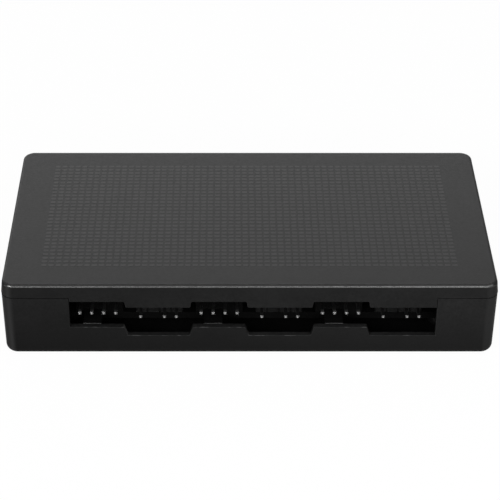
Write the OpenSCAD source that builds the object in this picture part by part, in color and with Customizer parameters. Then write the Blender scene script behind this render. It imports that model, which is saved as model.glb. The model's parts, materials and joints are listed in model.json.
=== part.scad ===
// Splitter box for case fans and light strips.
// A shallow two-part case holds one circuit board with a row of pin headers along each long side.
// The origin is the middle of the underside, the front row faces -Y and up is +Z.

/* [Body] */
// Length of the closed body, left to right
body_l = 105; // [95:1:130]
// Depth of the closed body, front to back
body_d = 55; // [54:1:80]
// Height of the closed body
body_h = 18; // [16:0.5:24]
// Height of the cover's skirt above the parting line
cover_h = 3; // [2.6:0.1:3.4]
// Thickness of the case walls
wall = 1.4; // [1.2:0.1:1.6]
// Thickness of the case floor
floor_t = 1.6; // [1.4:0.1:2]
// Thickness of the cover's roof
roof_t = 1.6; // [1.2:0.1:2]
// Radius of the upright corners
corner_r = 2.9; // [2.7:0.1:3.6]
// Fillet round the top edge of the cover
top_r = 0.7; // [0.3:0.1:0.8]
// Fillet round the bottom edge of the case
bottom_r = 1.6; // [1:0.1:2.2]
// Outward flare of the cover's skirt from its top to its rim
flare = 0.34; // [0.1:0.02:0.5]
// Inward lean of the case walls from the parting line down to the underside
draft = 0.15; // [0.05:0.05:0.3]
// Step from the cover's rim in to the case wall
rim_step = 0.06; // [0.06:0.02:0.2]
// Height of the shadow groove round the case, just under the cover's rim
seam_h = 0.25; // [0.15:0.05:0.35]
// Depth of the shadow groove
seam_d = 0.3; // [0.2:0.05:0.4]
// Thickness of the cover's locating lip
lip_t = 0.8; // [0.6:0.1:1]
// Reach of the locating lip below the parting line
lip_h = 1.2; // [0.8:0.1:1.6]
// Clearance between the cover and the case where they face each other
shell_gap = 0.1; // [0.06:0.02:0.16]

/* [Ports] */
// Number of fan and light port pairs in each long row
row_pairs = 3; // [2:1:3]
// Length kept clear of ports at each end of a long row
row_margin = 13.8; // [13.2:0.1:15]
// Distance between the middles of the two input ports on the right end
input_pitch = 12.9; // [12.7:0.1:13.4]
// How much wider a light port is, and a fan port narrower, than their even share of the row
port_bias = 1.2; // [0.9:0.1:1.4]
// How far a row's opening runs on past its last light port
row_tail = 0.3; // [0.1:0.1:0.5]
// Step from the side of a fan port in to the top of its raised sill
sill_inset = 0.225; // [0.1:0.025:0.3]
// Run of a tongue's sloping flank
tongue_lean = 0.2; // [0.1:0.05:0.4]
// Run of a sill's sloping flank
sill_lean = 0.62; // [0.4:0.02:0.8]
// Rounding of the corners along the edges of the openings
edge_r = 0.35; // [0.2:0.05:0.45]
// Clear height of a fan port below the middle of its pins
fan_below = 2.5; // [2.2:0.1:2.8]
// Drop of the cover's apron below the parting line, over a fan port
fan_drop = 1; // [0.7:0.1:1.3]
// Clear height of a light port below the middle of its pins
light_below = 3.8; // [3.5:0.1:4.1]
// Drop of the cover's tongue below the parting line, over a light port
light_drop = 2.5; // [2.2:0.1:2.8]

/* [Pins and headers] */
// Distance between neighbouring pins
pin_pitch = 2.54; // [2.5:0.02:2.6]
// Thickness of the square pins
pin_t = 0.64; // [0.5:0.02:0.7]
// Distance from the body's outer face back to the pin tips
tip_inset = 1.5; // [1.2:0.1:2]
// Distance from the body's outer face back to the headers and the board's edge
header_inset = 7.5; // [7:0.1:8]
// Height of the fan pins above the board
fan_pin_z = 3.9; // [3.7:0.1:4.1]
// Height of the light pins above the board
light_pin_z = 3; // [2.8:0.1:3.2]
// Depth of a fan header's block
fan_block_d = 3.2; // [3:0.1:3.6]
// Height of a fan header's block
fan_block_h = 5.6; // [5.2:0.1:6]
// Depth of a light header's block
light_block_d = 2.54; // [2.4:0.02:2.8]
// Height of a light header's block
light_block_h = 4.4; // [4.2:0.1:4.8]
// Bevel along the upper rear edge of a fan header's block
fan_bevel = 0.6; // [0.4:0.1:0.8]
// Side of the grooves between the pin places of a light header
light_groove = 0.3; // [0.2:0.05:0.4]
// Distance from a header's block back to the pins' upright legs
leg_setback = 1; // [0.8:0.1:1.2]
// Length of the pin legs below the board
leg_below = 1.2; // [1:0.1:1.4]
// Width of the latch tab on a fan header
latch_w = 3.9; // [3.6:0.1:4.4]
// Thickness of the latch tab
latch_t = 0.8; // [0.6:0.1:0.9]
// Height of the latch tab's underside above the board
latch_z = 0.2; // [0.1:0.05:0.3]
// Height of the bead at the latch tab's tip
latch_bead = 0.25; // [0.1:0.05:0.3]
// Clearance between the latch tab and the case wall
latch_gap = 0.2; // [0.15:0.05:0.4]

/* [Power inlet] */
// Number of contacts on the inlet's blade
contact_count = 15; // [9:1:15]
// Distance between neighbouring contacts
contact_pitch = 1.27; // [1.2:0.01:1.3]
// Width of a contact
contact_w = 0.84; // [0.7:0.02:0.9]
// Thickness of a contact
contact_t = 0.2; // [0.15:0.01:0.25]
// Distance from the blade's tip to the contacts' ends
contact_lead = 0.4; // [0.3:0.1:0.6]
// Length of the contacts' feet on the board
contact_foot = 1.5; // [1.2:0.1:1.8]
// Thickness of the blade
blade_t = 1.2; // [1.1:0.05:1.4]
// Height of the blade's top face above the board
blade_z = 3.9; // [3.7:0.1:4.1]
// Plastic left on the blade past its last contacts
blade_margin = 0.7; // [0.5:0.1:0.9]
// Drop of the key leg at the blade's end
key_drop = 1.4; // [1:0.1:1.6]
// Depth of the inlet's rear block
inlet_block_d = 2.6; // [2.4:0.1:3]
// Height of the inlet's rear block and side cheeks
inlet_block_h = 5.4; // [5.2:0.1:5.8]
// Width of the inlet's side cheeks
cheek_w = 1.5; // [1.2:0.1:1.8]
// Clearance between the blade and a side cheek
cheek_gap = 1; // [0.8:0.1:1.2]
// Clearance between the inlet and the edge of its opening
inlet_gap = 0.5; // [0.3:0.1:0.8]

/* [Board] */
// Thickness of the circuit board
board_t = 1.6; // [1.4:0.1:1.8]
// Space between the floor and the board
board_gap = 2.75; // [2.6:0.05:3.1]
// Radius of the board's corners
board_r = 1; // [0.5:0.1:1.5]
// Diameter of the board's pin holes
pin_hole_d = 1.02; // [1:0.01:1.1]
// Distance from the board's edges in to its locating holes
peg_inset = 3.5; // [3.2:0.1:3.8]
// Diameter of the locating pegs
peg_d = 2; // [1.8:0.1:2.2]
// Clearance round a locating peg
peg_gap = 0.1; // [0.05:0.05:0.15]
// Reach of a locating peg above the board
peg_rise = 0.8; // [0.6:0.1:1]
// Diameter of the posts that carry and hold the board
post_d = 4.6; // [4.2:0.1:4.8]
// Clearance between the cover's posts and the board
press_gap = 0.1; // [0.05:0.05:0.15]

/* [Screws] */
// Distance from the body's outer faces in to the case screws
screw_inset = 5.1; // [4.9:0.1:5.4]
// Diameter of the case screws' threaded shank
screw_d = 2.4; // [2.2:0.1:2.6]
// Length of the shank
screw_l = 10; // [8.5:0.5:10]
// Diameter of the screw heads
head_d = 4.2; // [3.8:0.1:4.4]
// Height of the screw heads
head_h = 1.4; // [1.2:0.1:1.6]
// Width of the cross recess in the screw heads
recess_w = 0.7; // [0.6:0.05:0.8]
// Length of the cross recess
recess_l = 2.6; // [2.4:0.1:2.8]
// Depth of the cross recess
recess_h = 0.8; // [0.6:0.1:0.9]
// Depth that the screw heads sit below the underside
head_sink = 0.8; // [0.6:0.1:1]
// Clearance round the screw heads
head_gap = 0.3; // [0.2:0.05:0.4]
// Clearance round the shank in the case's bosses
shank_gap = 0.15; // [0.1:0.05:0.2]
// Outer diameter of the case's screw bosses
boss_d = 6; // [5.8:0.1:6.2]
// Height of the bosses' top above the underside
boss_top = 9; // [8:0.1:9.5]
// Thickness of the ribs in the case and the cover
rib_t = 1; // [0.8:0.1:1.2]
// Distance from the headers' front faces back to the cover's ribs over them
rib_setback = 0.7; // [0.4:0.1:1]

/* [Magnets] */
// Diameter of the round magnets in the underside
magnet_d = 12; // [10:0.5:13]
// Thickness of the magnets
magnet_t = 1.6; // [1.2:0.1:1.8]
// Distance between the middles of the two magnets
magnet_span = 56; // [50:1:60]
// Depth that the magnets sit below the underside
magnet_sink = 0.1; // [0.05:0.05:0.2]
// Clearance round a magnet in its pocket
magnet_gap = 0.1; // [0.05:0.05:0.15]
// Thickness of plastic over and round a magnet
magnet_skin = 0.9; // [0.8:0.1:1]

/* [Hidden] */
row_ids = [for (i = [1:2 * row_pairs]) i];

// Smoothness of round forms
round_fn = 64;
small_fn = 32;
arc_steps = 4;
// Overshoot that lets a cut break cleanly through a face
cut = 1;
// Overlap inside the plastic where one form grows out of another
root_h = 0.3;
// Smallest radius left on an inner corner
least_r = 0.2;

// Heights
part_z = body_h - cover_h;
roof_z = body_h - roof_t;
board_z = floor_t + board_gap;
board_top = board_z + board_t;
fan_sill_z = board_top + fan_pin_z - fan_below;
fan_top_z = part_z - fan_drop;
light_sill_z = board_top + light_pin_z - light_below;
light_top_z = part_z - light_drop;

// Plan sizes of the shells
case_l = body_l - 2 * rim_step;
case_d = body_d - 2 * rim_step;
case_r = corner_r - rim_step;
wall_in = rim_step + wall;
hollow_l = body_l - 2 * wall_in;
hollow_d = body_d - 2 * wall_in;
hollow_r = corner_r - wall_in;

// Board and headers
board_l = body_l - 2 * header_inset;
board_d = body_d - 2 * header_inset;
port_pitch = (body_l - 2 * row_margin) / (2 * row_pairs);
pin_count = 4;
header_w = pin_count * pin_pitch;
// Pin places counted from 0: the one over a latch tab, and the one left empty in a light header
latch_pin = 1;
light_blank = 1;
peg_x = board_l / 2 - peg_inset;
peg_y = board_d / 2 - peg_inset;
screw_x = body_l / 2 - screw_inset;
screw_y = body_d / 2 - screw_inset;

// Power inlet
blade_w = contact_count * contact_pitch + 2 * blade_margin;
inlet_w = blade_w + 2 * (cheek_gap + cheek_w);
inlet_window_w = inlet_w + 2 * inlet_gap;

// Each side with ports: turn about the upright axis, distance to its outer face, pairs of ports, pitch
FRONT = [0, body_d / 2, row_pairs, port_pitch];
BACK = [180, body_d / 2, row_pairs, port_pitch];
RIGHT = [90, body_l / 2, 1, input_pitch];
LEFT = [-90, body_l / 2, 0, 0];
PORT_SIDES = [FRONT, BACK, RIGHT];

// Small parts on the board: middles from the board's middle, and package sizes
capacitor_place = [24, 6];
capacitor_foot = [6.6, 6.6, 1];
can_d = 6.3;
can_h = 4.8;
fuse_place = [12, 5];
fuse_size = [4.5, 3.2, 1];
fan_chip_place = [8, -3.5];
fan_chip_legs = 4;
light_chip_place = [22, 4];
light_chip_legs = 7;
chip_d = 3.9;
chip_h = 1.5;
chip_lift = 0.15;
chip_leg_pitch = 1.27;
chip_leg_w = 0.42;
chip_leg_h = 0.7;
chip_leg_span = 6;
line_pitch = 3;
resistor_size = [1.6, 0.8, 0.45];
resistor_rows = [-7.5, 9];
resistor_count = 6;
ceramic_size = [1.6, 0.8, 0.8];
ceramic_rows = [0.5, 6.5];
ceramic_count = 5;

CASE_BLACK = [0.07, 0.07, 0.075];
HEADER_BLACK = [0.05, 0.05, 0.05];
BOARD_BLACK = [0.04, 0.05, 0.045];
TIN = [0.75, 0.74, 0.7];
GOLD = [0.8, 0.65, 0.3];
NICKEL = [0.7, 0.7, 0.72];
STEEL = [0.2, 0.2, 0.21];
CERAMIC = [0.55, 0.45, 0.35];

// Places along a row: port middles run from left to right and each pair is fan, then light
function fan_x(i, side) = (2 * i - side[2] + 0.5) * side[3];
function light_x(i, side) = fan_x(i, side) + side[3];
function fan_window_w(side) = side[3] - port_bias;
function row_start(side) = fan_x(0, side) - fan_window_w(side) / 2;
function row_end(side) = light_x(side[2] - 1, side) + (side[3] + port_bias) / 2 + row_tail;
function pin_x(n) = (n - (pin_count - 1) / 2) * pin_pitch;

function unit(v) = v / norm(v);

// Points of the arc of radius r that rounds the corner at b between the points a and c
function corner_arc(a, b, c, r) =
    let (u = unit(a - b), v = unit(c - b), half = acos(u * v) / 2)
    let (middle = b + unit(u + v) * r / sin(half))
    let (first = b + u * r / tan(half) - middle, last = b + v * r / tan(half) - middle)
    let (from = atan2(first.y, first.x), turn = atan2(last.y, last.x) - from)
    let (sweep = turn > 180 ? turn - 360 : turn < -180 ? turn + 360 : turn)
    [for (i = [0:arc_steps]) let (t = from + sweep * i / arc_steps) middle + r * [cos(t), sin(t)]];

// An outline with its corners rounded, apart from the first two and the last two
function rounded(points, r) =
    let (last = len(points) - 1)
    [for (i = [0:last])
        each i < 2 || i > last - 2 ? [points[i]] : corner_arc(points[i - 1], points[i], points[i + 1], r)];

// Stepped edge along a row: high at the fan ports, low at the light ports, closed along top_z
function row_outline(side, inset, top_z, fan_z, light_z, w, lean) =
    let (a = row_start(side) + inset, b = row_end(side) - inset)
    concat(
        [[a, top_z], [a, fan_z]],
        [for (i = [0:side[2] - 1])
            let (x = fan_x(i, side))
            each concat(
                i == 0 ? [] : [[x - w / 2 - lean, light_z], [x - w / 2, fan_z]],
                [[x + w / 2, fan_z], [x + w / 2 + lean, light_z]]
            )],
        [[b, light_z], [b, top_z]]
    );

// Moves things to a side: x runs along it from its middle, y in from the body's outer face
module on_side(side) {
    rotate([0, 0, side[0]])
        translate([0, -side[1], 0])
            children();
}

module at_fan(side, i) {
    on_side(side)
        translate([fan_x(i, side), header_inset, board_top])
            children();
}

module at_light(side, i) {
    on_side(side)
        translate([light_x(i, side), header_inset, board_top])
            children();
}

module at_corners(x, y) {
    for (sx = [-1, 1], sy = [-1, 1])
        translate([sx * x, sy * y, 0])
            children();
}

// Solid of rounded plan whose rim follows a section: x out from the corner's axis, y up
module rimmed_solid(l, d, r, z0, z1) {
    lx = l / 2 - r;
    ly = d / 2 - r;
    translate([-lx - root_h, -ly - root_h, z0])
        cube([2 * (lx + root_h), 2 * (ly + root_h), z1 - z0]);
    for (turn = [0, 180])
        rotate([0, 0, turn]) {
            translate([lx, ly, 0])
                rotate([90, 0, 0])
                    linear_extrude(2 * ly)
                        children();
            translate([-lx, ly, 0])
                rotate([90, 0, 90])
                    linear_extrude(2 * lx)
                        children();
            translate([lx, ly, 0])
                rotate_extrude(angle = 90, $fn = round_fn)
                    children();
            translate([lx, -ly, 0])
                rotate([0, 0, -90])
                    rotate_extrude(angle = 90, $fn = round_fn)
                        children();
        }
}

// Upright prism of rounded plan
module rounded_prism(l, d, r, z0, z1) {
    translate([0, 0, z0])
        linear_extrude(z1 - z0)
            union() {
                square([l - 2 * r, d], center = true);
                square([l, d - 2 * r], center = true);
                for (sx = [-1, 1], sy = [-1, 1])
                    translate([sx * (l / 2 - r), sy * (d / 2 - r)])
                        circle(r, $fn = round_fn);
            }
}

// Section of the case's rim: leaning wall with a fillet at the bottom and a groove at the top
module case_section() {
    slope = atan(draft / part_z);
    fillet_x = case_r - (part_z - bottom_r) * tan(slope) - bottom_r / cos(slope);
    groove_z = part_z - seam_h;
    intersection() {
        square([case_r, part_z]);
        union() {
            polygon([
                [0, 0],
                [fillet_x, 0],
                [fillet_x, bottom_r],
                [fillet_x + bottom_r * cos(slope), bottom_r - bottom_r * sin(slope)],
                [case_r - seam_h * tan(slope), groove_z],
                [case_r - seam_d, groove_z],
                [case_r - seam_d, part_z],
                [0, part_z]
            ]);
            translate([fillet_x, bottom_r])
                circle(bottom_r, $fn = round_fn);
        }
    }
}

// Section of the cover's rim: flared skirt, with a fillet at the top
module cover_section() {
    slope = atan(flare / cover_h);
    fillet_z = body_h - top_r;
    fillet_x = corner_r - (fillet_z - part_z) * tan(slope) - top_r / cos(slope);
    polygon([
        [0, part_z],
        [corner_r, part_z],
        [fillet_x + top_r * cos(slope), fillet_z + top_r * sin(slope)],
        [fillet_x, fillet_z],
        [fillet_x, body_h],
        [0, body_h]
    ]);
    translate([fillet_x, fillet_z])
        circle(top_r, $fn = small_fn);
}

// Part of the case wall that a row of ports takes away
module row_notch(side) {
    sill_w = fan_window_w(side) - 2 * sill_inset;
    on_side(side)
        translate([0, wall_in + cut, 0])
            rotate([90, 0, 0])
                linear_extrude(wall_in + 2 * cut)
                    polygon(rounded(
                        row_outline(side, 0, part_z + cut, fan_sill_z, light_sill_z, sill_w, sill_lean),
                        edge_r
                    ));
}

// Hidden root that joins an apron to the skirt above it
module apron_root(side, from, to) {
    on_side(side)
        translate([from, flare, part_z - root_h])
            cube([to - from, wall_in - flare, 2 * root_h]);
}

// Apron of the cover that drops into the notch, with a tongue over each light port
module row_apron(side) {
    on_side(side)
        translate([0, wall_in, 0])
            rotate([90, 0, 0])
                linear_extrude(wall_in)
                    polygon(rounded(
                        row_outline(
                            side, shell_gap, part_z, fan_top_z, light_top_z, fan_window_w(side), tongue_lean
                        ),
                        edge_r
                    ));
    apron_root(side, row_start(side) + shell_gap, row_end(side) - shell_gap);
}

module inlet_notch() {
    on_side(LEFT)
        translate([-inlet_window_w / 2, -cut, light_sill_z])
            cube([inlet_window_w, wall_in + 2 * cut, body_h]);
}

module inlet_apron() {
    apron_w = inlet_window_w - 2 * shell_gap;
    on_side(LEFT)
        translate([-apron_w / 2, 0, light_top_z])
            cube([apron_w, wall_in, part_z - light_top_z]);
    apron_root(LEFT, -apron_w / 2, apron_w / 2);
}

// Gap in the cover's locating lip behind each opening
module lip_break(side, from, to) {
    on_side(side)
        translate([from - lip_t, 0, 0])
            cube([to - from + 2 * lip_t, wall_in + shell_gap + lip_t + cut, part_z]);
}

module cover_posts() {
    at_corners(screw_x, screw_y)
        translate([0, 0, boss_top + shell_gap])
            cylinder(d = boss_d - 2 * shell_gap, h = roof_z - boss_top, $fn = round_fn);
    at_corners(peg_x, peg_y)
        translate([0, 0, board_top + press_gap])
            cylinder(d = post_d, h = roof_z - board_top, $fn = round_fn);
}

// Rib that reaches down to just above the blocks along one side
module block_rib(side, from, to, block_h) {
    on_side(side)
        translate([from, header_inset + rib_setback, board_top + block_h + press_gap])
            cube([to - from, rib_t, roof_z - board_top - block_h]);
}

module cover_ribs() {
    for (side = PORT_SIDES)
        block_rib(side, row_start(side), row_end(side), fan_block_h);
    block_rib(LEFT, -inlet_w / 2, inlet_w / 2, inlet_block_h);
}

module cover_post_holes() {
    at_corners(screw_x, screw_y)
        translate([0, 0, boss_top - cut])
            cylinder(d = screw_d, h = cut + shank_top() + shell_gap - boss_top, $fn = small_fn);
    at_corners(peg_x, peg_y)
        translate([0, 0, board_top - cut])
            cylinder(d = peg_d + 2 * peg_gap, h = cut + peg_rise + peg_gap, $fn = small_fn);
}

function head_seat() = head_sink + head_h;
function shank_top() = head_seat() + screw_l;

module top_cover() {
    lip_gap = 2 * shell_gap;
    color(CASE_BLACK)
        difference() {
            union() {
                difference() {
                    union() {
                        rimmed_solid(body_l, body_d, corner_r, part_z, body_h)
                            cover_section();
                        difference() {
                            rounded_prism(
                                hollow_l - lip_gap, hollow_d - lip_gap, hollow_r - shell_gap,
                                part_z - lip_h, part_z + cut
                            );
                            for (side = PORT_SIDES)
                                lip_break(side, row_start(side), row_end(side));
                            lip_break(LEFT, -inlet_window_w / 2, inlet_window_w / 2);
                        }
                    }
                    rounded_prism(
                        hollow_l - lip_gap - 2 * lip_t, hollow_d - lip_gap - 2 * lip_t,
                        max(hollow_r - shell_gap - lip_t, least_r), part_z - lip_h - cut, roof_z
                    );
                }
                for (side = PORT_SIDES)
                    row_apron(side);
                inlet_apron();
                cover_posts();
                cover_ribs();
            }
            cover_post_holes();
        }
}

module case_bosses() {
    at_corners(screw_x, screw_y)
        cylinder(d = boss_d, h = boss_top, $fn = round_fn);
    at_corners(peg_x, peg_y) {
        cylinder(d = post_d, h = board_z, $fn = round_fn);
        cylinder(d = peg_d, h = board_top + peg_rise, $fn = small_fn);
    }
    // Two ribs tie each screw boss to the walls beside it
    for (sx = [-1, 1], sy = [-1, 1]) {
        translate([sx * (screw_x + screw_inset / 2 - rim_step), sy * screw_y, boss_top / 2])
            cube([screw_inset - wall, rib_t, boss_top], center = true);
        translate([sx * screw_x, sy * (screw_y + screw_inset / 2 - rim_step), boss_top / 2])
            cube([rib_t, screw_inset - wall, boss_top], center = true);
    }
    // Raised pads give the magnet pockets their depth
    for (s = [-1, 1])
        translate([s * magnet_span / 2, 0, 0])
            cylinder(
                d = magnet_d + 2 * magnet_skin, h = magnet_sink + magnet_t + magnet_skin, $fn = round_fn
            );
}

module case_holes() {
    at_corners(screw_x, screw_y) {
        translate([0, 0, -cut])
            cylinder(d = screw_d + 2 * shank_gap, h = boss_top + 2 * cut, $fn = small_fn);
        translate([0, 0, -cut])
            cylinder(d = head_d + 2 * head_gap, h = head_seat() + cut, $fn = round_fn);
    }
    for (s = [-1, 1])
        translate([s * magnet_span / 2, 0, -cut])
            cylinder(
                d = magnet_d + 2 * magnet_gap, h = magnet_sink + magnet_t + cut, $fn = round_fn
            );
}

module bottom_case() {
    color(CASE_BLACK)
        difference() {
            union() {
                difference() {
                    rimmed_solid(case_l, case_d, case_r, 0, part_z)
                        case_section();
                    rounded_prism(hollow_l, hollow_d, hollow_r, floor_t, part_z + cut);
                }
                intersection() {
                    case_bosses();
                    rimmed_solid(case_l, case_d, case_r, 0, part_z)
                        case_section();
                }
            }
            case_holes();
            for (side = PORT_SIDES)
                row_notch(side);
            inlet_notch();
        }
}

// Holes in the board for one row's pin legs
module leg_holes(side) {
    for (i = [0:side[2] - 1], n = [0:pin_count - 1]) {
        at_fan(side, i)
            leg_hole(pin_x(n), fan_block_d);
        if (n != light_blank)
            at_light(side, i)
                leg_hole(pin_x(n), light_block_d);
    }
}

module leg_hole(x, block_d) {
    translate([x, block_d + leg_setback, -board_t - cut])
        cylinder(d = pin_hole_d, h = board_t + 2 * cut, $fn = small_fn);
}

module circuit_board() {
    color(BOARD_BLACK)
        difference() {
            rounded_prism(board_l, board_d, board_r, board_z, board_top);
            at_corners(peg_x, peg_y)
                translate([0, 0, board_z - cut])
                    cylinder(d = peg_d + 2 * peg_gap, h = board_t + 2 * cut, $fn = small_fn);
            for (side = PORT_SIDES)
                leg_holes(side);
        }
}

// One right-angle pin: tip at y = -reach, leg down through the board
module pin(x, z, block_d) {
    reach = header_inset - tip_inset;
    half = pin_t / 2;
    point = pin_t / 4;
    leg_y = block_d + leg_setback;
    foot = -board_t - leg_below;
    translate([x, 0, 0])
        intersection() {
            translate([-half, 0, 0])
                rotate([90, 0, 90])
                    linear_extrude(pin_t)
                        polygon([
                            [-reach, z + point],
                            [-reach + point, z + half],
                            [leg_y, z + half],
                            [leg_y + half, z],
                            [leg_y + half, foot + point],
                            [leg_y + point, foot],
                            [leg_y - point, foot],
                            [leg_y - half, foot + point],
                            [leg_y - half, z - half],
                            [-reach + point, z - half],
                            [-reach, z - point]
                        ]);
            translate([0, 0, foot])
                linear_extrude(z + half - foot)
                    polygon([
                        [-point, -reach],
                        [point, -reach],
                        [half, -reach + point],
                        [half, leg_y + half],
                        [-half, leg_y + half],
                        [-half, -reach + point]
                    ]);
        }
}

module fan_pins() {
    color(TIN)
        for (n = [0:pin_count - 1])
            pin(pin_x(n), fan_pin_z, fan_block_d);
}

module light_pins() {
    color(TIN)
        for (n = [0:pin_count - 1])
            if (n != light_blank)
                pin(pin_x(n), light_pin_z, light_block_d);
}

// Square passages for the pins through a header's block
module pin_passages(z, block_d, blank) {
    for (n = [0:pin_count - 1])
        if (n != blank)
            translate([pin_x(n) - pin_t / 2, -cut, z - pin_t / 2])
                cube([pin_t, block_d + 2 * cut, pin_t]);
}

// Block with a bevel along its upper rear edge and its latch tab under the second pin
module fan_header() {
    tab_reach = header_inset - wall_in - latch_gap;
    bead_y = -tab_reach;
    tab_top = latch_z + latch_t;
    color(HEADER_BLACK)
        difference() {
            union() {
                translate([-header_w / 2, 0, 0])
                    rotate([90, 0, 90])
                        linear_extrude(header_w)
                            polygon([
                                [0, 0],
                                [fan_block_d, 0],
                                [fan_block_d, fan_block_h - fan_bevel],
                                [fan_block_d - fan_bevel, fan_block_h],
                                [0, fan_block_h]
                            ]);
                translate([pin_x(latch_pin) - latch_w / 2, 0, 0])
                    rotate([90, 0, 90])
                        linear_extrude(latch_w)
                            polygon([
                                [fan_block_d / 2, latch_z],
                                [fan_block_d / 2, tab_top],
                                [bead_y + 4 * latch_bead, tab_top],
                                [bead_y + 2 * latch_bead, tab_top + latch_bead],
                                [bead_y + latch_bead / 2, tab_top + latch_bead],
                                [bead_y, tab_top],
                                [bead_y, latch_z]
                            ]);
            }
            pin_passages(fan_pin_z, fan_block_d, -1);
        }
}

// Block with a groove down each face between neighbouring pin places
module light_header() {
    color(HEADER_BLACK)
        difference() {
            translate([-header_w / 2, 0, 0])
                cube([header_w, light_block_d, light_block_h]);
            for (n = [0:pin_count], y = [0, light_block_d])
                translate([(n - pin_count / 2) * pin_pitch, y, -cut])
                    rotate([0, 0, 45])
                        translate([-light_groove / 2, -light_groove / 2, 0])
                            cube([light_groove, light_groove, light_block_h + 2 * cut]);
            pin_passages(light_pin_z, light_block_d, light_blank);
        }
}

// Inlet for the supply: a keyed blade between two cheeks, on a block at the board's edge
module power_inlet_body() {
    reach = header_inset - tip_inset;
    color(HEADER_BLACK)
        translate([0, header_inset, board_top])
            difference() {
                union() {
                    translate([-inlet_w / 2, 0, 0])
                        cube([inlet_w, inlet_block_d, inlet_block_h]);
                    translate([-blade_w / 2, -reach, blade_z - blade_t])
                        cube([blade_w, reach + inlet_block_d, blade_t]);
                    translate([-blade_w / 2, -reach, blade_z - blade_t - key_drop])
                        cube([blade_t, reach + inlet_block_d, blade_t + key_drop]);
                    for (s = [-1, 1])
                        translate([s * (inlet_w - cheek_w) / 2 - cheek_w / 2, -reach, 0])
                            cube([cheek_w, inlet_block_d + reach, inlet_block_h]);
                }
                for (n = [0:contact_count - 1])
                    translate([contact_x(n) - contact_w / 2, -reach - cut, blade_z - contact_t])
                        cube([contact_w, reach + inlet_block_d + 2 * cut, contact_t]);
            }
}

function contact_x(n) = (n - (contact_count - 1) / 2) * contact_pitch;

// Strips that lie in the blade's grooves and turn down to feet on the board
module power_inlet_contacts() {
    back = inlet_block_d + leg_setback;
    reach = header_inset - tip_inset;
    color(GOLD)
        translate([0, header_inset, board_top])
            for (n = [0:contact_count - 1])
                translate([contact_x(n) - contact_w / 2, 0, 0])
                    rotate([90, 0, 90])
                        linear_extrude(contact_w)
                            polygon([
                                [contact_lead - reach, blade_z],
                                [back + contact_t, blade_z],
                                [back + contact_t, contact_t],
                                [back + contact_foot, contact_t],
                                [back + contact_foot, 0],
                                [back, 0],
                                [back, blade_z - contact_t],
                                [contact_lead - reach, blade_z - contact_t]
                            ]);
}

module case_screw(sx, sy) {
    color(STEEL)
        translate([sx * screw_x, sy * screw_y, 0])
            difference() {
                union() {
                    translate([0, 0, head_sink])
                        cylinder(d = head_d, h = head_h, $fn = round_fn);
                    translate([0, 0, head_seat() - cut])
                        cylinder(d = screw_d, h = screw_l + cut, $fn = small_fn);
                }
                for (turn = [0, 90])
                    translate([0, 0, head_sink])
                        rotate([0, 0, turn])
                            cube([recess_l, recess_w, 2 * recess_h], center = true);
            }
}

module magnet(s) {
    color(NICKEL)
        translate([s * magnet_span / 2, 0, magnet_sink])
            cylinder(d = magnet_d, h = magnet_t, $fn = round_fn);
}

// Can-shaped capacitor on a square foot
module bulk_capacitor(s) {
    foot = capacitor_foot;
    color(NICKEL)
        translate([-capacitor_place.x, s * capacitor_place.y, board_top]) {
            translate([-foot.x / 2, -foot.y / 2, 0])
                cube(foot);
            cylinder(d = can_d, h = foot.z + can_h, $fn = round_fn);
        }
}

// Flat chip with a row of legs along each long side
module chip(place, legs) {
    chip_l = legs * chip_leg_pitch;
    leg_run = (chip_leg_span - chip_d) / 2;
    color(HEADER_BLACK)
        translate([place.x, place.y, board_top]) {
            translate([-chip_l / 2, -chip_d / 2, chip_lift])
                cube([chip_l, chip_d, chip_h]);
            for (n = [0:legs - 1], s = [-1, 1])
                translate([(n - (legs - 1) / 2) * chip_leg_pitch, s * (chip_d + leg_run) / 2, chip_leg_h / 2])
                    cube([chip_leg_w, leg_run, chip_leg_h], center = true);
        }
}

module fan_buffer_chip() {
    chip(fan_chip_place, fan_chip_legs);
}

module light_buffer_chip() {
    chip(light_chip_place, light_chip_legs);
}

module fuse(s) {
    color(CERAMIC)
        translate([-fuse_place.x, s * fuse_place.y, board_top + fuse_size.z / 2])
            cube(fuse_size, center = true);
}

// A line of small blocks along the middle of the board
module chip_line(y, count, size) {
    for (n = [0:count - 1])
        translate([(n - 1) * line_pitch, y, board_top + size.z / 2])
            cube(size, center = true);
}

module chip_resistors() {
    color(HEADER_BLACK)
        for (y = resistor_rows)
            chip_line(y, resistor_count, resistor_size);
}

module chip_capacitors() {
    color(CERAMIC)
        for (y = ceramic_rows)
            chip_line(y, ceramic_count, ceramic_size);
}

// Ports are numbered along the front row from left to right, then along the back row
function side_of(i) = i <= row_pairs ? FRONT : BACK;
function place_of(i) = (i - 1) % row_pairs;

top_cover();
bottom_case();
circuit_board();
for (i = row_ids) {
    at_fan(side_of(i), place_of(i)) fan_header();
    at_fan(side_of(i), place_of(i)) fan_pins();
    at_light(side_of(i), place_of(i)) light_header();
    at_light(side_of(i), place_of(i)) light_pins();
}
at_fan(RIGHT, 0) fan_header();  // fan_input_header
at_fan(RIGHT, 0) fan_pins();  // fan_input_pins
at_light(RIGHT, 0) light_header();  // light_input_header
at_light(RIGHT, 0) light_pins();  // light_input_pins
on_side(LEFT) power_inlet_body();
on_side(LEFT) power_inlet_contacts();
case_screw(-1, -1);  // case_screw_1
case_screw(1, -1);  // case_screw_2
case_screw(-1, 1);  // case_screw_3
case_screw(1, 1);  // case_screw_4
magnet(-1);  // magnet_left
magnet(1);  // magnet_right
bulk_capacitor(-1);  // bulk_capacitor_1
bulk_capacitor(1);  // bulk_capacitor_2
fan_buffer_chip();
light_buffer_chip();
fuse(-1);  // fuse_1
fuse(1);  // fuse_2
chip_resistors();
chip_capacitors();
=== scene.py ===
"""Looks of the fan and light splitter box: finishes, rounded edges, dash field, light and camera."""

import json
import math

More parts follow.
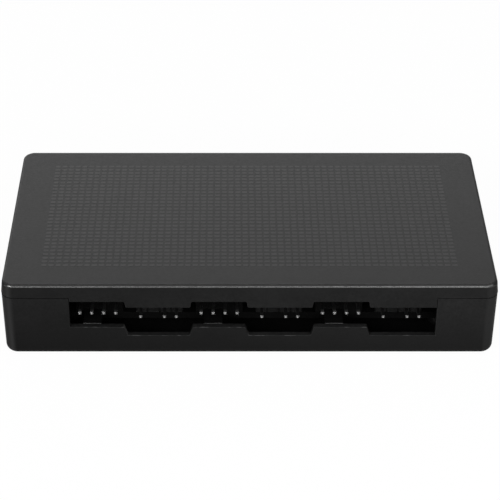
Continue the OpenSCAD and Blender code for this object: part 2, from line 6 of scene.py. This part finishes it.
import bmesh
import bpy
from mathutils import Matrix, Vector


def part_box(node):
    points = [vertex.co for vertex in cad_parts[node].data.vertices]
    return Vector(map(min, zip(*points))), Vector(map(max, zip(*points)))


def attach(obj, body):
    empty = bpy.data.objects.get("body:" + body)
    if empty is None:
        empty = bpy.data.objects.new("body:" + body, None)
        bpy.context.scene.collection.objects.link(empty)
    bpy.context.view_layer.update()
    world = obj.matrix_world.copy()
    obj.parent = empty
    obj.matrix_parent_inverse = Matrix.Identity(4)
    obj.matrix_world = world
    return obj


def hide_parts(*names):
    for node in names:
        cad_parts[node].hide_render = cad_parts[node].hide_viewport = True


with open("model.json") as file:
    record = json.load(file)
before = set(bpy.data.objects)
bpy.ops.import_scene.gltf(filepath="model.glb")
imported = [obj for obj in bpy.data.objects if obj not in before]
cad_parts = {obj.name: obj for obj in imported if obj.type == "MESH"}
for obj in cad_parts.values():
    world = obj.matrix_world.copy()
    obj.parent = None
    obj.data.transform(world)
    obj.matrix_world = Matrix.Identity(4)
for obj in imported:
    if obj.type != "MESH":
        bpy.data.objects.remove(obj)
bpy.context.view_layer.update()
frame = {"nodes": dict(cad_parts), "record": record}

MM = 0.001
BODY = "root"

# Photograph: a pinhole camera fitted to the outline of the box
PHOTO_WIDTH_PX = 500
FOCAL_PX = 1790.8
CENTRE_PX = 228.2
RAISED_PX = 0.25
CAMERA_TILT = math.radians(34.098)
CAMERA_PLACE = (-4.51 * MM, -333.22 * MM, 234.27 * MM)
SENSOR_MM = 36.0

# Field of raised dashes on the cover, as seen in the photograph: counts and spacing, size at the
# foot, cut corners, height, run of the sides, depth in the roof, and the crest's share of a corner
DASH_COLUMNS = 58
DASH_ROWS = 30
DASH_PITCH = (1.534 * MM, 1.382 * MM)
DASH_SIZE = (1.17 * MM, 0.94 * MM)
DASH_CORNER = 0.18 * MM
DASH_RISE = 0.035 * MM
DASH_SLOPE = 0.07 * MM
DASH_ROOT = 0.02 * MM
DASH_CREST_SHARE = 0.8
# How far the field's middle lies behind the cover's
DASH_MIDDLE_Y = 0.4 * MM

# Values between which most of a noise lies
NOISE_MIDDLE = (0.3, 0.7)

# Noises of the moulded plastic, in cells per metre, the sum of two between which its colours mix,
# the heights of its two grains, and how far its roughness varies down and up
CLOUD_SCALE = 90.0
COARSE_SCALE = 1800.0
FINE_SCALE = 6500.0
MOTTLE_RANGE = (0.38, 0.62)
COARSE_HEIGHT = 0.012 * MM
FINE_HEIGHT = 0.010 * MM
PLASTIC_VARIES = (-0.05, 0.06)

# Noises of the plated metal, its drawn grain longer along y, that grain's height, and how far the
# roughness varies
PLATE_SCALE = 1500.0
DRAWN_SCALE = 9000.0
DRAWN_STRETCH = (1.0, 0.2, 1.0)
DRAWN_HEIGHT = 0.004 * MM
METAL_VARIES = (-0.06, 0.08)

# Painted sheen on the upright corners, which rises and falls by the size of the normal's x, its
# share on the right, and the height at which the case's painted shade towards the underside ends
SHEEN_RISE = (0.05, 0.4)
SHEEN_FALL = (0.5, 0.75)
SHEEN_RIGHT = 0.25
LOW_SHADE_HEIGHT = 14 * MM

# Painted glints in spots along the sills' edges: cells per metre, and the noise at which they start
# and are full
GLINT_SCALE = 420.0
GLINT_RANGE = (0.53, 0.62)

# Depth of a pin's bright cut end, the distance from its tip at which the fan pins' painted
# highlight starts, and the share of a depth at which a change of its colour ends
CUT_DEPTH = 0.02 * MM
TIP_LENGTH = 1.3 * MM
CHANGE_SHARE = 0.9

# Copies of CAD nodes: distance at which seams close, angle under which faces are one, angle over
# which an edge is sharp, and the steps and widths of the rounding
WELD_DISTANCE = 0.001 * MM
FLAT_ANGLE = math.radians(0.5)
SHARP_ANGLE = math.radians(32)
BEVEL_STEPS = 3
SHELL_ROUND = 0.1 * MM
HEADER_ROUND = 0.09 * MM
PIN_ROUND = 0.15 * MM

# Parts of the shells: depth of what counts as outside, height up to which a point is in the
# underside, depth of the cover's top edge, and heights between which the sills lie
OUTER_BAND = 2.2 * MM
UNDERSIDE_BAND = 0.05 * MM
EDGE_BAND = 1.0 * MM
SILL_BAND = (2.2 * MM, 8.0 * MM)
# Depth behind the tip of a latch tab in which its edge carries a painted highlight
TIP_BAND = 0.5 * MM

# Upward share of a face's normal: where the cover's top edge starts, where that of its two ends
# turns glossy, where the top is flat, and the limits between which a face counts as slanted
EDGE_LOW = 0.3
SIDE_EDGE_LOW = 0.7
EDGE_HIGH = 0.9995
SLANT_LOW = 0.2
SLANT_HIGH = 0.98

# Floor: its colour as a source of light, share of its own white, half its side in metres, and the
# gap under the object
WHITE = (1.0, 1.0, 1.0, 1.0)
FLOOR_PALE = (0.8, 0.8, 0.8, 1.0)
FLOOR_LIFT = 0.96
FLOOR_REACH = 12.0
FLOOR_GAP = 0.02 * MM

# Light of the world on the object, and the soft boxes: name, bearing and height in degrees,
# distance and sides in metres, radiance
WORLD_LEVEL = 0.2
SOFT_BOXES = (
    ("front_box", 4, 25, 1.2, (1.4, 0.44), 3.6),
    ("right_box", -17, 27, 1.2, (0.4, 0.46), 2.5),
    ("left_box", 43, 29, 1.0, (0.45, 0.28), 12.0),
    ("near_box", -52, 36, 0.32, (0.26, 0.26), 1.4),
    ("top_box", 0, 84, 1.2, (1.6, 1.1), 0.3),
    ("rear_box", 165, 25.5, 0.7, (1.0, 0.36), 1.19),
)

SLOTS = {part["node"]: part["material_slot"] for part in frame["record"]["subparts"]}


def srgb(value):
    """Linear value of an sRGB level from 0 to 255."""
    level = value / 255
    return level / 12.92 if level <= 0.04045 else ((level + 0.055) / 1.055) ** 2.4


def grey(value, warmth=0.0):
    """Linear colour of a grey sRGB level, a little warmer or cooler."""
    base = srgb(value)
    return (base * (1 + warmth), base, base * (1 - warmth), 1.0)


class Graph:
    """A material's node tree, with short calls to add and join nodes."""

    def __init__(self, name):
        self.material = bpy.data.materials.new(name)
        self.material.use_nodes = True
        self.nodes = self.material.node_tree.nodes
        self.links = self.material.node_tree.links
        self.nodes.clear()
        self.output = self.nodes.new("ShaderNodeOutputMaterial")
        self.texture = self.nodes.new("ShaderNodeTexCoord")
        self.coords = self.texture.outputs["Object"]

    def add(self, kind, **settings):
        """A new node, with its settings."""
        node = self.nodes.new(kind)
        for key, value in settings.items():
            setattr(node, key, value)
        return node

    def join(self, source, target):
        """A link from one socket to another."""
        self.links.new(source, target)

    def noise(self, scale, detail=3.0, roughness=0.55, stretch=None):
        """Noise over the object's own coordinates, with scale in cells per metre."""
        coords = self.coords
        if stretch is not None:
            mapping = self.add("ShaderNodeMapping")
            mapping.inputs["Scale"].default_value = stretch
            self.join(coords, mapping.inputs["Vector"])
            coords = mapping.outputs["Vector"]
        node = self.add("ShaderNodeTexNoise")
        node.inputs["Scale"].default_value = scale
        node.inputs["Detail"].default_value = detail
        node.inputs["Roughness"].default_value = roughness
        self.join(coords, node.inputs["Vector"])
        return node.outputs["Fac"]

    def spread(self, value, low, high):
        """Maps the middle of a noise to a range of values."""
        return self.ramp(value, *NOISE_MIDDLE, low, high)

    def blend(self, factor, first, second):
        """Colour between two colours, each plain or from a socket, by a factor."""
        node = self.add("ShaderNodeMix", data_type="RGBA")
        for socket, colour in ((node.inputs["A"], first), (node.inputs["B"], second)):
            if isinstance(colour, tuple):
                socket.default_value = colour
            else:
                self.join(colour, socket)
        self.join(factor, node.inputs["Factor"])
        return node.outputs["Result"]

    def shade(self, colour, factor):
        """A colour made darker or lighter by a factor from a socket."""
        node = self.add("ShaderNodeHueSaturation")
        self.join(colour, node.inputs["Color"])
        self.join(factor, node.inputs["Value"])
        return node.outputs["Color"]

    def ramp(self, value, start, end, low=0.0, high=1.0):
        """Maps a range of values to another, and holds the ends."""
        node = self.add("ShaderNodeMapRange")
        for key, number in zip(("From Min", "From Max", "To Min", "To Max"), (start, end, low, high)):
            node.inputs[key].default_value = number
        self.join(value, node.inputs["Value"])
        return node.outputs["Result"]

    def axes(self, source):
        """The x, y and z of the object's own coordinates or normals."""
        node = self.add("ShaderNodeSeparateXYZ")
        self.join(self.texture.outputs[source], node.inputs["Vector"])
        return node.outputs

    def math(self, operation, first, second=0.0):
        """One operation on a socket and a second socket or number."""
        node = self.add("ShaderNodeMath", operation=operation)
        for socket, value in zip(node.inputs, (first, second)):
            if isinstance(value, (int, float)):
                socket.default_value = value
            else:
                self.join(value, socket)
        return node.outputs["Value"]

    def bump(self, height, distance, normal=None):
        """A normal raised by a height from a socket, over another normal where one is given."""
        node = self.add("ShaderNodeBump")
        node.inputs["Strength"].default_value = 1.0
        node.inputs["Distance"].default_value = distance
        self.join(height, node.inputs["Height"])
        if normal is not None:
            self.join(normal, node.inputs["Normal"])
        return node.outputs["Normal"]

    def surface(self, **values):
        """The shader, with plain values set on its own sockets."""
        shader = self.add("ShaderNodeBsdfPrincipled")
        for key, value in values.items():
            shader.inputs[key.replace("_", " ")].default_value = value
        self.join(shader.outputs["BSDF"], self.output.inputs["Surface"])
        return shader


def moulded_plastic(
    name, dark, light, roughness, specular, grain=1.0, corner_sheen=None, spot_glint=None, painted_low_shade=None, painted_light_slope=0.0
):
    """Plastic from a spark-eroded mould: a fine grain in height and gloss, faint mottling in colour.

    worn is the colour of a painted sheen that makes the upright corners paler towards front and
    back, less so on the right, and rubbed that of painted glints in spots here and there. faded is a
    colour of painted shade towards the underside and the height at which it ends. drift is the share
    by which painted light pales the plastic from left to right.
    """
    graph = Graph(name)
    shader = graph.surface(Specular_IOR_Level=specular)
    cloud = graph.noise(CLOUD_SCALE, detail=4.0)
    fine = graph.noise(FINE_SCALE, detail=2.0)
    coarse = graph.noise(COARSE_SCALE, detail=3.0)
    mottle = graph.math("MULTIPLY", graph.math("ADD", cloud, coarse), 0.5)
    colour = graph.blend(graph.ramp(mottle, *MOTTLE_RANGE), dark, light)
    # Painted glints in spots
    if spot_glint is not None:
        spots = graph.ramp(graph.noise(GLINT_SCALE, detail=2.0), *GLINT_RANGE)
        colour = graph.blend(spots, colour, spot_glint)
    # Painted shade: the colour darkens towards the underside
    if painted_low_shade is not None:
        rise = graph.ramp(graph.axes("Object")["Z"], 0.0, painted_low_shade[1])
        colour = graph.blend(rise, painted_low_shade[0], colour)
    # Painted sheen on the upright corners, fainter on the right
    if corner_sheen is not None:
        side = graph.axes("Normal")["X"]
        lean = graph.math("ABSOLUTE", side)
        rise, fall = graph.ramp(lean, *SHEEN_RISE), graph.ramp(lean, *SHEEN_FALL, 1.0, 0.0)
        share = graph.ramp(side, -SHEEN_RISE[1], SHEEN_RISE[1], 1.0, SHEEN_RIGHT)
        sheen_share = graph.math("MULTIPLY", graph.math("MULTIPLY", rise, fall), share)
        colour = graph.blend(sheen_share, colour, corner_sheen)
    # Painted light: the plastic pales from left to right
    if painted_light_slope > 0.0:
        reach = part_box("top_cover")[1].x
        across = graph.ramp(graph.axes("Object")["X"], -reach, reach, 1.0 - painted_light_slope, 1.0 + painted_light_slope)
        colour = graph.shade(colour, across)
    graph.join(colour, shader.inputs["Base Color"])
    low, high = (roughness + change for change in PLASTIC_VARIES)
    graph.join(graph.spread(coarse, low, high), shader.inputs["Roughness"])
    first = graph.bump(coarse, COARSE_HEIGHT * grain)
    graph.join(graph.bump(fine, FINE_HEIGHT * grain, normal=first), shader.inputs["Normal"])
    return graph.material


def metal(name, dark, light, roughness, cut=None, tip=None):
    """Plated metal with a faint drawn grain.

    cut is the colour of the pins' cut ends, and tip that of a painted highlight on the stretch behind
    them.
    """
    graph = Graph(name)
    shader = graph.surface(Metallic=1.0)
    cloud = graph.noise(PLATE_SCALE, detail=3.0)
    colour = graph.blend(graph.spread(cloud, 0.0, 1.0), dark, light)
    if cut is not None:
        end = -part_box("fan_pins_1")[0].y
        place = graph.axes("Object")
        across = graph.math("ABSOLUTE", place["Y"])
        along = graph.math("SUBTRACT", place["X"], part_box("fan_input_pins")[1].x - end)
        reach = graph.math("MAXIMUM", across, along)
        # Painted highlight on the stretch behind the tip
        if tip is not None:
            bright = graph.blend(graph.ramp(reach, end - TIP_LENGTH, end - PIN_ROUND), colour, tip)
            rounded = graph.ramp(reach, end - PIN_ROUND, end - PIN_ROUND * CHANGE_SHARE)
            colour = graph.blend(rounded, bright, colour)
        flat = graph.ramp(reach, end - CUT_DEPTH, end - CUT_DEPTH * CHANGE_SHARE)
        colour = graph.blend(flat, colour, cut)
    graph.join(colour, shader.inputs["Base Color"])
    fine = graph.noise(DRAWN_SCALE, detail=2.0, stretch=DRAWN_STRETCH)
    low, high = (roughness + change for change in METAL_VARIES)
    graph.join(graph.spread(fine, low, high), shader.inputs["Roughness"])
    graph.join(graph.bump(fine, DRAWN_HEIGHT), shader.inputs["Normal"])
    return graph.material


def make_materials():
    """Materials for the slots of the record, and for edges, insides, sills, dashes and pins that
    differ from them, several by painted light, shade, sheen or glints.
    """
    plastics = {
        # Painted sheen on the upright corners, and painted light that pales the plastic to the right
        "cover_plastic": (grey(22), grey(28), 0.5, 0.04, {"corner_sheen": grey(43), "painted_light_slope": 0.2}),
        "cover_edge": (grey(24), grey(30), 0.18, 0.8, {"grain": 1.6}),
        "cover_top": (grey(19), grey(24), 0.42, 0.43, {}),
        # A lighter copy of the top's plastic for the dashes: painted sheen over their smoother finish
        "cover_dashes_sheen": (grey(27), grey(29), 0.38, 0.55, {"grain": 0.4}),
        # The same painted sheen and painted light, and painted shade towards the underside
        "case_plastic": (
            grey(22), grey(30), 0.5, 0.04,
            {"corner_sheen": grey(42), "painted_low_shade": (grey(18), LOW_SHADE_HEIGHT), "painted_light_slope": 0.2},
        ),
        # Painted glints in spots on the sills' slanted edges
        "case_edge_glints": (grey(14), grey(28), 0.4, 0.12, {"spot_glint": grey(54)}),
        # A darker copy of the case plastic for the inside: painted shade
        "case_inside_shade": (grey(9), grey(13), 0.5, 0.04, {}),
        # A lighter copy of the case plastic for the flat sill tops: painted light
        "case_sill_lit": (grey(20), grey(34), 0.45, 0.1, {}),
        "header_plastic": (grey(14), grey(18), 0.45, 0.4, {"grain": 0.5}),
        # A darker copy of the header plastic for the fan headers inside their ports: painted shade
        "fan_header_shaded_plastic": (grey(11), grey(14), 0.5, 0.05, {"grain": 0.5}),
        # A lighter, glossier copy for the latch tabs' edges: painted highlight
        "header_edge_highlight": (grey(40), grey(60), 0.3, 0.6, {"grain": 0.3}),
        "board": (grey(8), grey(11), 0.4, 0.12, {"grain": 0.3}),
        "chip_black": (grey(22), grey(28), 0.6, 0.4, {}),
        "ceramic": ((0.3, 0.22, 0.15, 1), (0.36, 0.28, 0.2, 1), 0.5, 0.5, {"grain": 0.4}),
    }
    # Bright cut ends, and a painted highlight behind the fan pins' tips
    cut, tip_highlight = grey(198, 0.01), grey(215)
    metals = {
        "tinned_pins": (grey(92), grey(112), 0.4, {"cut": cut}),
        "fan_pins": (grey(92), grey(112), 0.4, {"cut": cut, "tip": tip_highlight}),
        "gilt_contacts": ((0.66, 0.47, 0.18, 1), (0.74, 0.56, 0.25, 1), 0.25, {}),
        "black_screws": (grey(38), grey(52), 0.42, {}),
        "magnet_nickel": (grey(188), grey(200), 0.2, {}),
        "capacitor_cans": (grey(200), grey(210), 0.35, {}),
    }
    made = {name: moulded_plastic(name, *values, **more) for name, (*values, more) in plastics.items()}
    made.update({name: metal(name, *values, **more) for name, (*values, more) in metals.items()})
    return made


def dress_nodes(materials):
    """Each CAD node takes the material of its slot in the record."""
    for name, piece in frame["nodes"].items():
        piece.data.materials.clear()
        piece.data.materials.append(materials[SLOTS[name]])


def add_mesh(name, mesh, materials):
    """A new object of a bmesh, with its materials."""
    data = bpy.data.meshes.new(name)
    mesh.to_mesh(data)
    mesh.free()
    for material in materials:
        data.materials.append(material)
    piece = bpy.data.objects.new(name, data)
    bpy.context.scene.collection.objects.link(piece)
    return piece


def weld(node):
    """A copy of a CAD node's mesh with its seams closed and its flat faces whole."""
    mesh = bmesh.new()
    mesh.from_mesh(frame["nodes"][node].data)
    bmesh.ops.remove_doubles(mesh, verts=mesh.verts, dist=WELD_DISTANCE)
    bmesh.ops.dissolve_limit(mesh, angle_limit=FLAT_ANGLE, verts=mesh.verts, edges=mesh.edges)
    return mesh


def soften(name, node, width, picked, materials, finish_of):
    """A copy of a CAD node whose picked sharp edges are rounded. It replaces the node.

    picked says of a point whether the edges between such points are rounded. finish_of gives a
    face's place in materials, from its normal and its middle.
    """
    mesh = weld(node)
    weight = mesh.edges.layers.float.new("bevel_weight_edge")
    for edge in mesh.edges:
        sharp = edge.is_manifold and edge.calc_face_angle() > SHARP_ANGLE
        ends = [vert.co for vert in edge.verts]
        if sharp and all(picked(end) for end in ends):
            edge[weight] = 1.0
    piece = add_mesh(name, mesh, materials)
    bevel = piece.modifiers.new("bevel", "BEVEL")
    bevel.limit_method = "WEIGHT"
    bevel.width = width
    bevel.segments = BEVEL_STEPS
    bevel.use_clamp_overlap = False
    settle(piece)
    for face in piece.data.polygons:
        face.material_index = finish_of(face.normal, face.center)
    piece.data.shade_smooth()
    piece.data.set_sharp_from_angle(angle=SHARP_ANGLE)
    normals = piece.modifiers.new("normals", "WEIGHTED_NORMAL")
    normals.keep_sharp = True
    settle(piece)
    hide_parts(node)
    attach(piece, BODY)


def settle(piece):
    """Applies a piece's modifiers to its mesh."""
    bpy.context.view_layer.update()
    source = piece.evaluated_get(bpy.context.evaluated_depsgraph_get())
    data = bpy.data.meshes.new_from_object(source)
    piece.modifiers.clear()
    piece.data = data


def make_shells(materials):
    """Cover and case with rounded outer edges, and finishes for their edges, sills and inside: painted
    glints on the sills' edges, painted light on the sill tops and painted shade inside the case.
    """
    low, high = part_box("top_cover")
    half = Vector(((high.x - low.x) / 2, (high.y - low.y) / 2))

    def outside(place):
        return abs(place.x) > half.x - OUTER_BAND or abs(place.y) > half.y - OUTER_BAND

    def outside_or_under(place):
        return outside(place) or place.z < UNDERSIDE_BAND

    def cover_finish(normal, middle):
        plain, top, edge = range(3)
        if middle.z < high.z - EDGE_BAND or normal.z < EDGE_LOW:
            return plain
        if normal.z > EDGE_HIGH:
            return top
        if abs(normal.y) > abs(normal.x):
            return edge
        return top if normal.z > SIDE_EDGE_LOW else plain

    def case_finish(normal, middle):
        # The inside takes painted shade, the sills' slanted edges painted glints and their flat tops
        # painted light
        plain, edge, inside, sill = range(4)
        if not outside(middle) and middle.z > UNDERSIDE_BAND:
            return inside
        if normal.z < SLANT_LOW or not SILL_BAND[0] < middle.z < SILL_BAND[1]:
            return plain
        return edge if normal.z < SLANT_HIGH else sill

    cover = [materials[name] for name in ("cover_plastic", "cover_top", "cover_edge")]
    case = [materials[name] for name in ("case_plastic", "case_edge_glints", "case_inside_shade", "case_sill_lit")]
    soften("cover_shell", "top_cover", SHELL_ROUND, outside, cover, cover_finish)
    soften("case_shell", "bottom_case", SHELL_ROUND, outside_or_under, case, case_finish)


def make_headers(materials):
    """Header blocks with rounded edges, and a painted highlight on the upper edge of each latch tab's
    tip.
    """
    for node in frame["nodes"]:
        if SLOTS[node] == "header_plastic" and "header" in node:
            tip = max(abs(corner.y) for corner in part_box(node)) - TIP_BAND

            def finish(normal, middle):
                slanted = all(SLANT_LOW < abs(value) < SLANT_HIGH for value in (normal.y, normal.z))
                return int(slanted and abs(middle.y) > tip and middle.z < SILL_BAND[1])

            block = materials["fan_header_shaded_plastic" if "fan" in node else "header_plastic"]
            finishes = [block, materials["header_edge_highlight"]]
            soften(node + "_block", node, HEADER_ROUND, lambda place: True, finishes, finish)


def make_pins(materials):
    """Pins with rounded tips, the fan pins with a painted highlight on the stretch behind theirs."""
    end = -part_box("fan_pins_1")[0].y
    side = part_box("fan_input_pins")[1].x

    def at_tip(place):
        return max(abs(place.y) - end, place.x - side) > -CUT_DEPTH

    for node in frame["nodes"]:
        if SLOTS[node] == "tinned_pins":
            finish = materials["fan_pins" if node.startswith("fan") else "tinned_pins"]
            soften(node + "_wires", node, PIN_ROUND, at_tip, [finish], lambda normal, middle: 0)


def dash_outline(width, depth, corner):
    """Plan of one dash, anticlockwise, with its corners cut."""
    x, y = width / 2, depth / 2
    return [
        (-x, -y + corner), (-x + corner, -y), (x - corner, -y), (x, -y + corner),
        (x, y - corner), (x - corner, y), (-x + corner, y), (-x, y - corner),
    ]


def dash_field(material):
    """The field of raised dashes, as one mesh on the cover's roof."""
    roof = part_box("top_cover")[1].z
    foot = dash_outline(*DASH_SIZE, DASH_CORNER)
    width, depth = (size - 2 * DASH_SLOPE for size in DASH_SIZE)
    crest = dash_outline(width, depth, DASH_CORNER * DASH_CREST_SHARE)
    mesh = bmesh.new()
    for column in range(DASH_COLUMNS):
        x = (column - (DASH_COLUMNS - 1) / 2) * DASH_PITCH[0]
        for row in range(DASH_ROWS):
            y = (row - (DASH_ROWS - 1) / 2) * DASH_PITCH[1] + DASH_MIDDLE_Y
            low = [mesh.verts.new((x + px, y + py, roof - DASH_ROOT)) for px, py in foot]
            high = [mesh.verts.new((x + px, y + py, roof + DASH_RISE)) for px, py in crest]
            mesh.faces.new(high)
            mesh.faces.new(low[::-1])
            for i in range(len(low)):
                j = (i + 1) % len(low)
                mesh.faces.new((low[i], low[j], high[j], high[i]))
    piece = add_mesh("dash_field", mesh, [material])
    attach(piece, BODY)


def place_camera():
    """The photograph's camera, looking along +Y and down at the front row."""
    data = bpy.data.cameras.new("photo_camera")
    data.sensor_width = SENSOR_MM
    data.sensor_fit = "HORIZONTAL"
    data.lens = FOCAL_PX * SENSOR_MM / PHOTO_WIDTH_PX
    data.shift_x = (PHOTO_WIDTH_PX / 2 - CENTRE_PX) / PHOTO_WIDTH_PX
    data.shift_y = -RAISED_PX / PHOTO_WIDTH_PX
    data.clip_start = 0.01
    camera = bpy.data.objects.new("photo_camera", data)
    camera.location = CAMERA_PLACE
    camera.rotation_euler = (math.pi / 2 - CAMERA_TILT, 0.0, 0.0)
    bpy.context.scene.collection.objects.link(camera)
    bpy.context.scene.camera = camera


def make_stage():
    """One plain pale floor, which reaches far past the camera's view."""
    size = FLOOR_REACH
    mesh = bmesh.new()
    for x, y in ((-size, -size), (size, -size), (size, size), (-size, size)):
        mesh.verts.new((x, y, -FLOOR_GAP))
    mesh.faces.new(mesh.verts)
    add_mesh("floor", mesh, [floor_material()])


def floor_material():
    """Matt floor that looks white to the camera and in reflections, with the object's shadow kept.

    It is clear from below, so that the object's underside can be looked at.
    """
    graph = Graph("floor")
    path = graph.add("ShaderNodeLightPath")
    seen = graph.math("MAXIMUM", path.outputs["Is Camera Ray"], path.outputs["Is Glossy Ray"])
    seen = graph.math("MAXIMUM", seen, path.outputs["Is Transmission Ray"])
    matt = graph.add("ShaderNodeBsdfDiffuse")
    graph.join(graph.blend(seen, FLOOR_PALE, WHITE), matt.inputs["Color"])
    glow = graph.add("ShaderNodeEmission")
    glow.inputs["Color"].default_value = WHITE
    glow.inputs["Strength"].default_value = 1.0
    mix = graph.add("ShaderNodeMixShader")
    graph.join(graph.math("MULTIPLY", seen, FLOOR_LIFT), mix.inputs["Fac"])
    graph.join(matt.outputs["BSDF"], mix.inputs[1])
    graph.join(glow.outputs["Emission"], mix.inputs[2])
    under = graph.add("ShaderNodeMixShader")
    graph.join(graph.add("ShaderNodeNewGeometry").outputs["Backfacing"], under.inputs["Fac"])
    graph.join(mix.outputs["Shader"], under.inputs[1])
    graph.join(graph.add("ShaderNodeBsdfTransparent").outputs["BSDF"], under.inputs[2])
    graph.join(under.outputs["Shader"], graph.output.inputs["Surface"])
    return graph.material


def area_light(name, bearing, height, distance, size, radiance):
    """Soft box at a bearing from the front, clockwise from above, and a height, both in degrees."""
    turn, lift = math.radians(bearing), math.radians(height)
    away = Vector((-math.sin(turn) * math.cos(lift), -math.cos(turn) * math.cos(lift), math.sin(lift)))
    data = bpy.data.lights.new(name, "AREA")
    data.shape = "RECTANGLE"
    data.size, data.size_y = size
    data.energy = radiance * math.pi * size[0] * size[1]
    light = bpy.data.objects.new(name, data)
    light.location = away * distance
    light.rotation_euler = away.to_track_quat("Z", "Y").to_euler()
    bpy.context.scene.collection.objects.link(light)


def make_light():
    """Soft boxes round and above the object, and an even world that is white to the camera."""
    for box in SOFT_BOXES:
        area_light(*box)
    world = bpy.data.worlds.new("studio")
    bpy.context.scene.world = world
    world.use_nodes = True
    tree = world.node_tree
    background = tree.nodes["Background"]
    background.inputs["Color"].default_value = WHITE
    path = tree.nodes.new("ShaderNodeLightPath")
    level = tree.nodes.new("ShaderNodeMapRange")
    level.inputs["To Min"].default_value = WORLD_LEVEL
    tree.links.new(path.outputs["Is Camera Ray"], level.inputs["Value"])
    tree.links.new(level.outputs["Result"], background.inputs["Strength"])


def write_sizes():
    """Only defines a helper that turns a box's corners into plain lists."""
    def plain(bounds):
        return [[float(v) for v in corner] for corner in bounds]


place_camera()
materials = make_materials()
dress_nodes(materials)
make_shells(materials)
make_headers(materials)
make_pins(materials)
dash_field(materials["cover_dashes_sheen"])
make_stage()
make_light()
bpy.context.scene.view_settings.view_transform = "Standard"
write_sizes()
